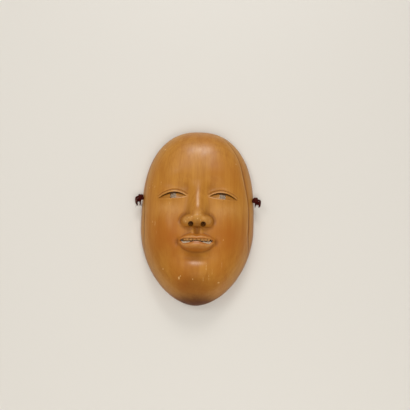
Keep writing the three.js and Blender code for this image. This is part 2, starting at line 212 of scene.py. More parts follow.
# Nose: a straight ridge, a round tip and two wings with their grooves
def nose_relief(a, y):
    down = np.clip((NOSE_TOP - y) / (NOSE_TOP - NOSE_TIP), 0, 1)
    under = np.clip((NOSE_TIP + 3 - y) / (NOSE_TIP + 3 - NOSE_BASE), 0, 1)
    ridge = 12.5 * down ** 1.25 * (1 - under ** 2.4) ** 0.8
    bridge = ridge * np.exp(-((a / (8 + 1.8 * down)) ** 2.5))
    tip_distance = np.hypot(a / 9.8, (y - NOSE_TIP + 1) / 9.4)
    tip = 3.2 * np.exp(-(tip_distance ** 2.6))
    wing_distance = np.hypot((a - WING_X) / 5.8, (y - WING_Y) / 6)
    wing = 7 * np.exp(-(wing_distance ** 3))
    groove_share = smooth(-19, -11, y) * smooth(11, 15, a)
    groove = -1.2 * np.exp(-(((wing_distance - 1.4) / 0.34) ** 2)) * groove_share
    return bridge + tip + wing + groove


# Mouth: the borders of the lips and of the slot between them
def lip_lines(a):
    out = np.clip(a / (MOUTH_HALF + 1.5), 0, 1)
    border = -27 - 1.7 * bump(a, 0, 3) - 6.4 * out ** 1.9
    slot_top = -34 - 0.7 * bump(a, 0, 5) - 1.6 * smooth(14, 19.5, a)
    slot_bottom = -37.6 - 2.2 * smooth(1, 14, a) + 3.2 * smooth(14.5, 19.5, a)
    return border, slot_top, slot_bottom, LOWER_LIP_Y + 7.6 * out ** 2.5


def lip_relief(a, y):
    border, slot_top, slot_bottom, chin_border = lip_lines(a)
    taper = np.maximum(1 - (a / (MOUTH_HALF + 3)) ** 2.6, 0)
    down = (border - y) / np.maximum(border - slot_top, 0.5)
    upper_lip = 1.1 * smooth(-0.12, 0.1, down) + 3 * smooth(0, 0.75, down)
    low = np.maximum(slot_bottom - y, 0) / np.maximum(slot_bottom - chin_border, 0.5)
    fullness = 5.6 * (0.45 + 0.55 * smooth(-0.15, 0.42, low)) * (1 - smooth(0.38, 1.05, low))
    lower_lip = fullness + 0.9 * (1 - smooth(0.9, 1.08, low))
    below = smooth(slot_top, slot_bottom, y)
    return taper * (upper_lip * (1 - below) + lower_lip * below)


def mouth_relief(a, y):
    muzzle = 4.2 * bump(a, 0, 26) * bump(y, -35, 17)
    philtrum = -1.4 * bump(a, 0, 2.6) * smooth(-29.5, -26, y) * smooth(-18, -21.5, y)
    columns = 0.8 * bump(a, 5, 2.2) * smooth(-29, -26, y) * smooth(-18, -22, y)
    corner = -1.8 * bump(a, MOUTH_HALF + 3.8, 3.6) * bump(y, MOUTH_Y, 5)
    under_lip = -3.5 * bump(a, 0, 17) * bump(y, -56, 6.6)
    chin = 4.2 * bump(a, 0, 20) * bump(y, CHIN_Y, 14)
    return muzzle + philtrum + columns + corner + under_lip + chin + lip_relief(a, y)


def cheek_relief(a, y):
    cheek = 3.2 * bump(a, 36, 19) * bump(y, -17, 22)
    brow = 0.9 * bump(a, 24, 20) * bump(y, 45, 12)
    return cheek + brow


# The hair's edge is a step down along each side, at a share of the half width. It runs down to the
# jaw, and on the right it turns inwards over the temple.
def hair_share(y, is_left):
    at_jaw = -0.05 * smooth(-60, -80, y)
    left = 0.915 + 0.05 * smooth(-20, -46, y) + 0.025 * smooth(0, 25, y) - 0.12 * smooth(60, 105, y)
    right = 0.885 + 0.08 * smooth(-20, -46, y) - 0.075 * smooth(0, 56, y) - 0.09 * smooth(60, 105, y)
    return at_jaw + np.where(is_left, left, right)


def hair_fade(y):
    return smooth(-52, -45, y) * smooth(98, 80, y)


def hair_sink(across, y, is_left):
    is_hair = across > hair_share(y, is_left) + HAIR_STEP / 2
    return np.where(is_hair, HAIR_SINK * hair_fade(y), 0)


# The finer carving: a groove at the foot of the hair's step, shallower over the temples, and the
# unevenness of hand work
GROOVE_DEPTH, GROOVE_WIDTH = 0.5, 0.02


def hair_groove(across, y, is_left):
    out = across - hair_share(y, is_left)
    shape = smooth(0, HAIR_STEP, out) * smooth(GROOVE_WIDTH, 0.55 * GROOVE_WIDTH, out)
    return GROOVE_DEPTH * (0.15 + 0.85 * smooth(38, -5, y)) * shape * hair_fade(y)


def hand_work(x, y):
    waves = np.sin(x / 3.1 + 0.6 * np.sin(y / 7.3)) * np.sin(y / 4.6 + 0.8 * np.sin(x / 6.1 + 1))
    return 0.05 * waves + 0.09 * np.sin(x / 7.7 + 2) * np.sin(y / 8.9 + 0.4 * np.sin(x / 9))


# Front and hollow as heights over the plane of the back rim
def front(x, y):
    a = np.abs(x)
    across = across_share(x, y)
    inside = smooth(1, 0.85, across) * smooth(HALF_HEIGHT, HALF_HEIGHT - 12, np.abs(y))
    relief = eye_relief(a, y) + nose_relief(a, y) + mouth_relief(a, y) + cheek_relief(a, y)
    whole = (dome(x, y) + relief * inside) * (1 - hair_sink(across, y, x < 0))
    return RIM + whole + hand_work(x, y) * inside - hair_groove(across, y, x < 0)


HOLLOW_X = (HALF_WIDTH - WALL_SIDE) / HALF_WIDTH
HOLLOW_Y = (HALF_HEIGHT - WALL_END) / HALF_HEIGHT
HOLLOW_Z = (DEPTH - WALL_FRONT) / DEPTH


def hollow_height(x, y):
    a = np.abs(x)
    vault = dome(x / HOLLOW_X, y / HOLLOW_Y) * HOLLOW_Z
    nose = 9 * bump(a, 0, 9.5) * bump(y, -5, 14)
    mouth = 3.6 * bump(a, 0, 24) * bump(y, MOUTH_Y, 10)
    eyes = 1.5 * bump(a, EYE_X, 13) * bump(y, EYE_Y, 9)
    return vault + nose + mouth + eyes - 1


# Shallow gouge cuts in rows across the hollow, each a little bowl, shifted from row to row
GOUGE_WIDTH, GOUGE_LENGTH, GOUGE_DEPTH = 7.5, 12.0, 0.8
GOUGE_SHIFT, GOUGE_UNEVENNESS = 0.37, 0.08


def gouges(x, y):
    row = np.floor(x / GOUGE_WIDTH)
    shifted = y / GOUGE_LENGTH + GOUGE_SHIFT * row + GOUGE_UNEVENNESS * np.sin(5.1 * row)
    u = x / GOUGE_WIDTH - row - 0.5
    v = shifted - np.floor(shifted) - 0.5
    edge = smooth(1.0, 0.9, across_share(x / HOLLOW_X, y / HOLLOW_Y))
    return GOUGE_DEPTH * (1 - 4 * u * u) * (1 - 2.2 * v * v) * edge


def gouged_hollow(x, y):
    return hollow_height(x, y) + gouges(x, y) - 0.5 * GOUGE_DEPTH


# Meshes
def mesh_object(name, points, faces):
    """An object from points in millimetres and faces."""
    mesh = bpy.data.meshes.new(name)
    mesh.from_pydata((np.asarray(points) * MM).tolist(), [], faces)
    mesh.update()
    obj = bpy.data.objects.new(name, mesh)
    bpy.context.scene.collection.objects.link(obj)
    return obj


def grid_solid(name, x, y, lower, upper):
    """A closed solid over a grid of plan points. Its lower and upper side are flat at a height, or
    curved by a function of the plan point."""
    rows, columns = x.shape
    index = np.arange(rows * columns).reshape(rows, columns)
    corners = [index[:-1, :-1], index[:-1, 1:], index[1:, 1:], index[1:, :-1]]
    quads = np.stack(corners, -1).reshape(-1, 4)
    ring = np.concatenate([index[0, :-1], index[:-1, -1], index[-1, :0:-1], index[:0:-1, 0]])

    points, faces, rings = [], [], []
    for height, faces_up in ((lower, False), (upper, True)):
        first = sum(len(p) for p in points)
        z = height(x, y) if callable(height) else np.full(x.shape, height)
        surface = np.stack([x, y, z], -1).reshape(-1, 3)
        if callable(height):
            turned = quads if faces_up else quads[:, ::-1]
            points.append(surface)
            faces += (turned + first).tolist()
            rings.append(ring + first)
        else:
            flat = np.arange(len(ring)) + first
            points.append(surface[ring])
            faces.append((flat if faces_up else flat[::-1]).tolist())
            rings.append(flat)
    low, high = rings
    walls = np.stack([low, np.roll(low, -1), np.roll(high, -1), high], -1)
    return mesh_object(name, np.vstack(points), faces + walls.tolist())


def add_shade(obj, name, values, domain="POINT"):
    """Keeps a value from 0 to 1 with each point or face of a mesh, for its material."""
    layer = obj.data.attributes.new(name, "FLOAT", domain)
    layer.data.foreach_set("value", np.clip(values, 0, 1).astype(np.float32))


# Edges shorter than this are slivers of the cutting
SLIVER = 0.012


def cut(obj, cutters):
    """Cuts closed objects out of obj, removes them and dissolves the slivers."""
    for cutter in cutters:
        modifier = obj.modifiers.new("cut", "BOOLEAN")
        modifier.operation = "DIFFERENCE"
        modifier.object = cutter
        modifier.solver = "MANIFOLD"
        graph = bpy.context.evaluated_depsgraph_get()
        mesh = bpy.data.meshes.new_from_object(obj.evaluated_get(graph))
        obj.modifiers.clear()
        obj.data = mesh
        bpy.data.objects.remove(cutter)
    work = bmesh.new()
    work.from_mesh(obj.data)
    bmesh.ops.dissolve_degenerate(work, dist=SLIVER * MM, edges=work.edges)
    work.to_mesh(obj.data)
    work.free()


# Plans of the grids. The end rows of an oval one follow the outline this far to each side.
END_HALF_WIDTH = 16.0
FACE_COLUMNS, GROOVE_COLUMNS, HAIR_COLUMNS, FRONT_ROWS = 104, 4, 12, 300
HOLLOW_COLUMNS, HOLLOW_ROWS = 130, 170
LID_COLUMNS, LID_ROWS, PUPIL_COLUMNS = 72, 20, 8
TOOTH_COLUMNS, TOOTH_ROWS, SLOT_COLUMNS = 12, 6, 90

# How large the steps in the middle of a grid are, next to even ones
FRONT_MIDDLE, HOLLOW_MIDDLE = 0.6, 0.85


def oval_row(t, middle):
    v = 2 * t - 1
    spread = v * (middle + (1 - middle) * v * v)
    return spread * (1 + np.abs(spread) - spread * spread)


def oval_place(across, row):
    """Plan point from its share of the half width and of the way between chin and crown."""
    reach = np.abs(row)
    y = reach * outline_y(np.abs(across) * END_HALF_WIDTH, row > 0)
    edge_y = reach * outline_y(END_HALF_WIDTH, row > 0)
    to_edge = smooth(0.94, 1, reach) * (half_width(edge_y) - half_width(y))
    return across * (half_width(y) + to_edge), y


def front_plan():
    """Columns that end at the hair's edge, then the groove behind the step, then the hair."""
    row = oval_row(np.linspace(0, 1, FRONT_ROWS + 1), FRONT_MIDDLE)[:, None]
    share = np.linspace(0, 1, FACE_COLUMNS + 1)[None]
    out = np.linspace(0, 1, HAIR_COLUMNS + 1)[None, 1:]
    sides = []
    for is_left in (True, False):
        line = hair_share(row * HALF_HEIGHT, is_left)
        face = line * share * (FRONT_MIDDLE + (1 - FRONT_MIDDLE) * share * share)
        in_groove = np.linspace(0, 1, GROOVE_COLUMNS + 1)[None]
        groove = line + HAIR_STEP + (GROOVE_WIDTH - HAIR_STEP) * in_groove
        hair = line + GROOVE_WIDTH + (1 - line - GROOVE_WIDTH) * out * (2 - out)
        sides.append(np.concatenate([face, groove, hair], 1))
    across = np.concatenate([-sides[0][:, :0:-1], sides[1]], 1)
    return oval_place(across, np.broadcast_to(row, across.shape))


def hollow_plan():
    u = np.linspace(-1, 1, HOLLOW_COLUMNS + 1)[None]
    row = oval_row(np.linspace(0, 1, HOLLOW_ROWS + 1), HOLLOW_MIDDLE)[:, None]
    across = np.broadcast_to(u * (1.5 - 0.5 * u * u), (HOLLOW_ROWS + 1, HOLLOW_COLUMNS + 1))
    x, y = oval_place(across, np.broadcast_to(row, across.shape))
    return x * HOLLOW_X, y * HOLLOW_Y


def strip_plan(from_x, to_x, low_line, high_line, columns, rows):
    """Plan of a strip between two lines over x."""
    x = np.linspace(from_x, to_x, columns + 1)[None]
    t = np.linspace(0, 1, rows + 1)[:, None]
    low, high = low_line(x), high_line(x)
    return np.broadcast_to(x, (rows + 1, columns + 1)), low + (high - low) * t


def mirrored(plan):
    x, y = plan
    return -x[:, ::-1], y[:, ::-1]


# The ball of the eye lies behind the upper lid and nearly level with the lower one
def eyeball_height(x, y):
    a = np.abs(x)
    upper, lower = lid_lines(a)
    up = np.clip((y - lower) / np.maximum(upper - lower, 0.6), 0, 1)
    along = np.clip(np.abs(a - EYE_X) / EYE_HALF, 0, 1)
    return front(x, y) - (0.5 + 2.3 * up ** 1.2) * (1 - 0.75 * along ** 3)


def between_lids(centre, half, margin, columns, rows):
    """Plan of the strip between the lid lines, a margin inside them."""
    return strip_plan(
        centre - half, centre + half,
        lambda x: lid_lines(x)[1] + margin, lambda x: lid_lines(x)[0] - margin, columns, rows)


def eye_cutters():
    lid_gap = 0.06
    almond = between_lids(EYE_X, EYE_HALF, -lid_gap, LID_COLUMNS, LID_ROWS)
    pupil = between_lids(PUPIL_X, PUPIL_HALF, PUPIL_MARGIN, PUPIL_COLUMNS, 1)
    eyes = [grid_solid("almond", *plan, eyeball_height, ABOVE) for plan in (almond, mirrored(almond))]
    pupils = [grid_solid("pupil", *plan, BELOW, ABOVE) for plan in (pupil, mirrored(pupil))]
    return eyes + pupils


def tooth(centre, width):
    half = (width - TOOTH_GAP) / 2
    rounding, rise, swell = 0.35, 0.03, 0.5

    def edge(x):
        off_centre = np.abs(x - centre) / half
        return TOOTH_EDGE_Y + rise * abs(centre) - rounding + rounding * off_centre ** 3

    def face(x, y):
        off_centre = (x - centre) / half
        return TOOTH_FRONT_Z - TOOTH_BOW * x * x - swell * off_centre ** 4

    def root(x):
        return np.full(x.shape, TOOTH_ROOT_Y)

    plan = strip_plan(centre - half, centre + half, edge, root, TOOTH_COLUMNS, TOOTH_ROWS)
    return grid_solid("tooth", *plan, TOOTH_BACK_Z, face)


def mouth_cutter():
    plan = strip_plan(
        -MOUTH_HALF, MOUTH_HALF,
        lambda x: lip_lines(np.abs(x))[2], lambda x: lip_lines(np.abs(x))[1], SLOT_COLUMNS, 1)
    slot = grid_solid("slot", *plan, BELOW, ABOVE)
    teeth = []
    reached = 0
    for width in TOOTH_WIDTHS:
        teeth += [tooth(reached + width / 2, width), tooth(-reached - width / 2, width)]
        reached += width
    cut(slot, teeth)
    return slot


BORE_SIDES = 36


def bore(centre, direction, radius, stretch, length):
    """A round or oval prism along a direction."""
    turn = np.linspace(0, 2 * np.pi, BORE_SIDES, endpoint=False)
    ahead = np.array(direction, float)
    ahead /= np.linalg.norm(ahead)
    is_sideways = abs(ahead[0]) > 0.9
    if is_sideways:
        across, up = np.array([0, 1.0, 0]), np.array([0, 0, 1.0])
    else:
        across, up = np.array([1.0, 0, 0]), np.cross(ahead, [1.0, 0, 0])
    ring = radius * (np.cos(turn)[:, None] * across + stretch * np.sin(turn)[:, None] * up)
    ends = [np.array(centre) + ring - ahead * length / 2, np.array(centre) + ring + ahead * length / 2]
    n = BORE_SIDES
    faces = [list(range(n)), list(range(2 * n - 1, n - 1, -1))]
    faces += [[k, n + k, n + (k + 1) % n, (k + 1) % n] for k in range(n)]
    obj = mesh_object("bore", np.vstack(ends), faces)
    faces_inwards = np.dot(np.cross(across, up), ahead) >= 0
    if faces_inwards:
        obj.data.flip_normals()
    return obj


def bore_cutters():
    inward = np.array([0, NOSTRIL_LEAN, -math.sqrt(1 - NOSTRIL_LEAN ** 2)])
    sunk = 0.3 * NOSTRIL_LENGTH
    side_length = 40.0
    cutters = []
    for side in (-1, 1):
        nostril = np.array([side * NOSTRIL_X, NOSTRIL_Y, NOSTRIL_Z]) + inward * sunk
        cutters.append(bore(nostril, inward, NOSTRIL_RADIUS, NOSTRIL_STRETCH, NOSTRIL_LENGTH))
        at_side = (side * HALF_WIDTH, CORD_Y, CORD_Z)
        cutters.append(bore(at_side, (1, 0, 0), BORE_DIAMETER / 2, 1, side_length))
    return cutters


def carve_mask():
    mask = grid_solid("carved_mask", *front_plan(), 0.0, front)
    hollow = grid_solid("hollow", *hollow_plan(), BELOW, gouged_hollow)
    cut(mask, [hollow, *eye_cutters(), mouth_cutter(), *bore_cutters()])
    return mask


# Lines and tubes
def smooth_line(places, step):
    """Evenly spaced points of the centripetal curve through places."""
    p = np.asarray(places, float)
    p = np.vstack([2 * p[0] - p[1], p, 2 * p[-1] - p[-2]])
    gaps = np.linalg.norm(np.diff(p, axis=0), axis=1) ** 0.5
    fine = []
    points_between = 16
    t = np.linspace(0, 1, points_between, endpoint=False)[:, None]
    for k in range(1, len(p) - 2):
        p0, p1, p2, p3 = p[k - 1:k + 3]
        g0, g1, g2 = gaps[k - 1:k + 2]
        from_pull = ((p1 - p0) / g0 - (p2 - p0) / (g0 + g1) + (p2 - p1) / g1) * g1
        to_pull = ((p2 - p1) / g1 - (p3 - p1) / (g1 + g2) + (p3 - p2) / g2) * g1
        square = -3 * p1 + 3 * p2 - 2 * from_pull - to_pull
        cube = 2 * p1 - 2 * p2 + from_pull + to_pull
        fine.append(p1 + from_pull * t + square * t ** 2 + cube * t ** 3)
    return even_steps(np.vstack(fine + [p[-2:-1]]), step)


def way_along(line):
    """How far each point of a line is from its start, along the line."""
    lengths = np.linalg.norm(np.diff(line, axis=0), axis=1)
    return np.concatenate([[0], np.cumsum(lengths)])


def even_steps(line, step):
    """Points from end to end of a line, a step apart or a little less."""
    along = way_along(line)
    at = np.linspace(0, along[-1], math.ceil(along[-1] / step) + 1)
    return np.stack([np.interp(at, along, line[:, k]) for k in range(3)], 1)


def along_and_around(line, sides):
    """The way along a line, as a column, and the turns about it, as a row."""
    turns = np.linspace(0, 2 * np.pi, sides, endpoint=False)
    return way_along(line)[:, None], turns[None]


def sweep(line, radius, sides):
    """Points and faces of a closed tube along a line. radius(along, turn) gives its surface."""
    ahead = np.gradient(line, axis=0)
    ahead /= np.linalg.norm(ahead, axis=1)[:, None]
    off_every_line = [0.31, 0.2, 0.93]
    side = np.cross(ahead[0], off_every_line)
    side_at = []
    for direction in ahead:
        side = side - np.dot(side, direction) * direction
        side = side / np.linalg.norm(side)
        side_at.append(side)
    side_at = np.array(side_at)
    up_at = np.cross(ahead, side_at)
    along, turn = along_and_around(line, sides)
    reach = radius(along, turn)[..., None]
    ring = np.cos(turn)[..., None] * side_at[:, None] + np.sin(turn)[..., None] * up_at[:, None]
    points = (line[:, None] + reach * ring).reshape(-1, 3)
    index = np.arange(len(line) * sides).reshape(len(line), sides)
    onward = np.roll(index, -1, axis=1)
    quads = np.stack([index[:-1], onward[:-1], onward[1:], index[1:]], -1).reshape(-1, 4)
    return points, quads.tolist() + [index[0, ::-1].tolist(), index[-1].tolist()]


# Braided silk: strands wound both ways round the cord, each passing over and under the others
BRAID_STRANDS, BRAID_PITCH, BRAID_RISE = 6, 8.4, 0.07
CROWN_ROUNDING, CROSSING = 0.7, 0.2
CORD_SIDES, CORD_STEP = 28, 0.2
KNOT_SIDES, KNOT_STEP = 36, 0.15
CUT_END, CUT_TAPER = 0.8, 0.35


def plait(along, turn):
    """How high the braid stands, from 0 between its strands to 1 on the crown of one."""
    a = along / BRAID_PITCH * BRAID_STRANDS + turn * BRAID_STRANDS / (2 * np.pi)
    b = along / BRAID_PITCH * BRAID_STRANDS - turn * BRAID_STRANDS / (2 * np.pi)
    across_a, across_b = np.cos(np.pi * a), np.cos(np.pi * b)
    crown_a, crown_b = np.abs(across_a) ** CROWN_ROUNDING, np.abs(across_b) ** CROWN_ROUNDING
    a_is_over = smooth(-CROSSING, CROSSING, across_a * across_b)
    return a_is_over * crown_a + (1 - a_is_over) * crown_b


def braid(thickness):
    return lambda along, turn: thickness * (0.5 - BRAID_RISE + BRAID_RISE * plait(along, turn))


def knot_strand(line):
    """The strand of a knot: pressed in the wraps, of the cord's own width in the tail."""
    along = way_along(line)
    to_end = along[-1] - along
    outside = np.abs(line[:, 0]) - KNOT_X
    in_wraps = smooth(0.2, 1.6, outside)
    before_tail = smooth(2 * CORD_DIAMETER, 3.2 * CORD_DIAMETER, to_end)
    pressed = in_wraps * before_tail
    widths = CORD_DIAMETER + (STRAND - CORD_DIAMETER) * pressed
    widths *= 1 - CUT_TAPER * smooth(CUT_END, 0, to_end) ** 2
    woven = braid(1.0)
    return lambda at, turn: np.interp(at[:, 0], along, widths)[:, None] * woven(at, turn)


# A barrel knot in widths of its strand, outwards along X: the cord goes out through the middle,
# turns back, wraps around itself and goes out once more beside its first way.
def barrel_knot(tail):
    far = WRAP_FROM + WRAP_TURNS * WRAP_PITCH
    way_out = [(-0.9, 0, 0), (-0.2, -0.1, 0), (0.6, -0.4, 0), (1.3, -0.5, 0), (far, -0.5, 0)]
    turn_back = [
        (far + 0.42, -0.6, -0.08), (far + 0.58, -0.9, -0.22),
        (far + 0.46, -1.22, -0.22), (far + 0.2, -1.42, 0.05)]
    wraps = []
    steps_per_turn = 8
    steps = int(steps_per_turn * WRAP_TURNS)
    for k in range(1, steps):
        angle = 2 * math.pi * k / steps_per_turn
        x = far - (far - WRAP_FROM) * k / steps
        wraps.append((x, -WRAP_SIDE * math.cos(angle), WRAP_RISE * math.sin(angle)))
    tuck_in = [
        (0.78, 1.42, 0.15), (0.5, 1.35, -0.22), (0.36, 1, -0.34),
        (0.4, 0.68, -0.22), (0.66, 0.52, -0.06), (1.1, 0.5, 0)]
    out_again = [(far, 0.5, 0), (far + 0.6, 0.5, 0.1)]
    hanging = [(far + x, y, z) for x, y, z in tail]
    return np.array(way_out + turn_back + wraps + tuck_in + out_again + hanging)


def knot_path(side, roll, tail):
    """The knot outside one bore, from its start in the bore to the end of its tail."""
    x, y, z = barrel_knot(tail).T * STRAND
    outward = KNOT_X + x
    outward[0] = KNOT_START_X
    across = CORD_Y + y * math.cos(roll) - z * math.sin(roll)
    up = CORD_Z + y * math.sin(roll) + z * math.cos(roll)
    return np.stack([side * outward, across, up], 1)


# Loose threads: each a thin tube that leaves its bundle, leans, droops and waves
THREAD_WIDTH, THREAD_SIDES, THREAD_POINTS = 0.36, 6, 9
THREAD_SPREAD, THREAD_LEAN, THREAD_DROOP, THREAD_WAVE = 0.35, 0.3, 0.12, 0.16


def thread(start, way, length, chance):
    """Points and faces of one thread, half as wide at its end."""
    lean = chance.normal(0, THREAD_LEAN, 3)
    root = start + chance.normal(0, THREAD_SPREAD, 3)
    reach = length * chance.uniform(0.7, 1.1)
    along = np.linspace(0, 1, THREAD_POINTS)[:, None]
    bend = lean - [0, THREAD_DROOP, THREAD_DROOP]
    line = root + reach * (along * way + along ** 2 * bend)
    wave = np.sin(along * chance.uniform(3, 9) + chance.uniform(0, 6))
    line += THREAD_WAVE * wave * along * [1, 0.2, 1]
    width = THREAD_WIDTH * chance.uniform(0.8, 1.2)
    return sweep(line, lambda at, turn: width / 2 * (1 - 0.5 * at / reach) + 0 * turn, THREAD_SIDES)


def moved_on(faces, first):
    """The faces with their corners counted from a later first point."""
    return [[corner + first for corner in face] for face in faces]


def thread_tufts(tufts, chance):
    """Points, faces and paleness of all threads."""
    points, faces, pale = [], [], []
    paler_outwards = np.clip(0.4 + 0.9 * np.linspace(0, 1, THREAD_POINTS), 0, 1)
    for start, way, length, count, paleness in tufts:
        way = np.array(way, float) / np.linalg.norm(way)
        for _ in range(count):
            tube, sides = thread(start, way, length, chance)
            faces += moved_on(sides, sum(len(p) for p in points))
            points.append(tube)
            pale.append(np.repeat(paleness * paler_outwards, THREAD_SIDES))
    return np.vstack(points), faces, np.concatenate(pale)


def beyond_wood(side, place):
    return np.array([side * (KNOT_X + place[0]), CORD_Y + place[1], CORD_Z + place[2]])


def placed_tufts(name, side, line):
    """The tufts of a knot, with their own places and ways or those of the tail's end."""
    end, before = line[-4], line[-12]
    placed = []
    for at, way, *rest in TUFTS[name]:
        start = end if at is None else beyond_wood(side, at)
        ahead = end - before if way is None else np.multiply(way, (side, 1, 1))
        placed.append((start, ahead, *rest))
    return placed


def add_knot(name, look):
    side = look["side"]
    line = smooth_line(knot_path(**look), KNOT_STEP)
    points, faces = sweep(line, knot_strand(line), KNOT_SIDES)
    chance = np.random.default_rng(len(name))
    threads, thread_faces, pale = thread_tufts(placed_tufts(name, side, line), chance)
    faces += moved_on(thread_faces, len(points))
    obj = mesh_object(name + "_silk", np.vstack([points, threads]), faces)

    place, reach, paleness = RUBBED_AND_HIGHLIT[name]
    from_rub = np.linalg.norm(points - beyond_wood(side, place), axis=1)
    crown = plait(*along_and_around(line, KNOT_SIDES)).ravel()
    # Rubbed silk and painted highlight, on the crowns of the strands
    rubbed_and_highlit = paleness * smooth(reach, 0.2 * reach, from_rub) * (0.15 + 0.85 * crown ** 2)
    add_shade(obj, "frayed_and_highlit", np.concatenate([rubbed_and_highlit, pale]))
    add_shade(obj, "crown", np.concatenate([crown, np.ones(len(threads))]))
    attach(obj, "root")
    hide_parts(name)
    return obj


def add_cord():
    line = smooth_line(CORD_ROUTE, CORD_STEP)
    obj = mesh_object("silk_cord", *sweep(line, braid(CORD_DIAMETER), CORD_SIDES))
    add_shade(obj, "crown", plait(*along_and_around(line, CORD_SIDES)).ravel())
    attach(obj, "root")
    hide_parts("cord")
    return obj


# The mask's facets meet in a sharp edge beyond this angle
SHARP_ANGLE = math.radians(38)


def add_mask():
    mask = carve_mask()
    mask.data.shade_smooth()
    mask.data.set_sharp_from_angle(angle=SHARP_ANGLE)
    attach(mask, "root")
    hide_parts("mask")
    return mask


# Shades of the wood are worked out at each point of the mask and kept with its mesh. Chips have a
# place and a reach across and along the face, and scratches a place, a length and a strength.
CHIPS = [
    (-41, 77, 1.3, 1.3), (-43.5, 79, 0.7, 0.9), (-19, -79, 1.1, 2.2), (-17.5, -76.5, 0.7, 0.8),
    (-3, -80, 1.0, 0.9), (27, -82, 1.9, 0.8), (-13, -15, 1.0, 0.8), (4, -14, 0.8, 0.7),
    (-38, -68, 0.8, 1.0), (31, -34, 0.6, 1.0), (-58, 30, 0.7, 1.5), (44, 60, 0.6, 1.0),
    (-6, -10, 0.9, 0.7), (-9.5, -11.5, 0.9, 0.6), (-2.5, -8.5, 0.6, 0.8), (0.5, -12.5, 0.9, 0.7),
    (-11.5, -12.5, 0.6, 0.7), (4, -8, 0.6, 0.6),
]
SCRATCHES = [
    (12, -66, 9, 0.6), (15.5, -76, 10, 0.6), (19, -70, 7, 0.6), (9, -80, 5, 0.6),
    (30, -62, 7, 0.6), (-33, 8, 6, 0.6), (-52.5, -14, 7.5, 0.72), (-49, -15.5, 7, 0.68),
    (-47.5, -25, 5, 0.6), (-54.4, 33, 6, 0.7), (-51.5, 29, 6, 0.62), (-44, 34, 6, 0.6),
]
SCRATCH_WIDTH, SCRATCH_SLANT = 0.6, 0.03


def chips(x, y, z):
    worn_off = sum(
        bump(x, px, wide) * bump(y, py, high) * bump(z, float(front(px, py)), wide + high)
        for px, py, wide, high in CHIPS)
    for px, py, length, strength in SCRATCHES:
        slanted = x + SCRATCH_SLANT * (y - py)
        worn_off += strength * bump(slanted, px, SCRATCH_WIDTH) * bump(y, py, length)
    return worn_off


def standing(x, y, reach):
    """How far the front stands out from what lies around it, in millimetres."""
    turns = np.linspace(0, 2 * np.pi, 12, endpoint=False)
    around = [front(x + reach * math.cos(turn), y + reach * math.sin(turn)) for turn in turns]
    return front(x, y) - np.mean(around, axis=0)


def lid_line_and_shade(a, y, under):
    """The ball of the eye: painted shade under the upper lid, and a dark line along it."""
    upper, lower = lid_lines(a)
    up = np.clip((y - lower) / np.maximum(upper - lower, 0.6), 0, 1)
    margin = 0.1
    in_eye = (np.abs(a - EYE_X) < EYE_HALF) & (y < upper + margin) & (y > lower - margin) & (under < 3.2)
    return in_eye * smooth(0.15, 0.5, under) * (0.2 + 0.8 * smooth(0.6, 1, up))


def tooth_places(x, y, z):
    """Whether each point is on a tooth, and how near it is to a gap or to the teeth's edge."""
    a = np.abs(x)
    slot_top = lip_lines(a)[1]
    at_front = np.abs(z - TOOTH_FRONT_Z + TOOTH_BOW * x * x) < 1.2
    on_tooth = at_front & (a < sum(TOOTH_WIDTHS)) & (y < slot_top + 0.1) & (y > TOOTH_EDGE_Y - 1.3)
    gaps = np.cumsum((0,) + TOOTH_WIDTHS)
    from_gap = np.min(np.abs(a[:, None] - gaps[None]), axis=1)
    at_edge = smooth(TOOTH_EDGE_Y + 0.1, TOOTH_EDGE_Y - 0.4, y)
    return on_tooth, on_tooth * np.maximum(0.8 * smooth(0.34, 0.08, from_gap), at_edge)


def shaded_slot_wall(a, y, under):
    """The upper wall of the mouth's slot, just inside the lip: painted shade with a little ink."""
    slot_top, slot_bottom = lip_lines(a)[1:3]
    margin = 0.15
    in_slot = (y < slot_top + margin) & (y > slot_bottom - margin) & (a < MOUTH_HALF + 0.2)
    return in_slot & (under > 0.3) & (under < 3.5) & (y > (slot_top + slot_bottom) / 2)


def hair_line(x, y):
    on_right = 0.1 + 0.4 * smooth(20, -15, y)
    on_left = 0.1 + 0.35 * smooth(15, -5, y)
    groove = hair_groove(across_share(x, y), y, x < 0) / GROOVE_DEPTH
    return groove * np.where(x > 0, on_right, on_left)


# A stain on the chin, the left jaw and under the nose, and painted shadow along the chin's end
def chin_stain_and_shadow(x, y):
    a = np.abs(x)
    above_end = 0.42 * bump(x, -3, 24) * bump(y, -88, 14)
    end = 1.1 * smooth(-91, -107.5, y) * smooth(50, 10, a)
    jaw = 0.12 * bump(x, -40, 18) * bump(y, -55, 20)
    under_nose = 0.3 * bump(a, 0, 6.5) * bump(y, -18, 3.5)
    return above_end + end + jaw + under_nose


def blush_and_shade(x, y):
    """The redder wood of cheeks, chin and lips; at the right temple it is also painted shade."""
    a = np.abs(x)
    border, _, _, chin_border = lip_lines(a)
    lips = smooth(border + 0.8, border - 0.8, y) * smooth(chin_border - 1.5, chin_border + 1.5, y)
    lips = lips * smooth(MOUTH_HALF + 2, MOUTH_HALF - 2, a)
    cheeks = bump(a, 38, 18) * bump(y, -32, 32)
    chin = 0.9 * bump(a, 0, 26) * bump(y, -88, 12)
    temple = 0.5 * bump(x, 34, 18) * bump(y, 42, 22)
    return cheeks + chin + lips + temple


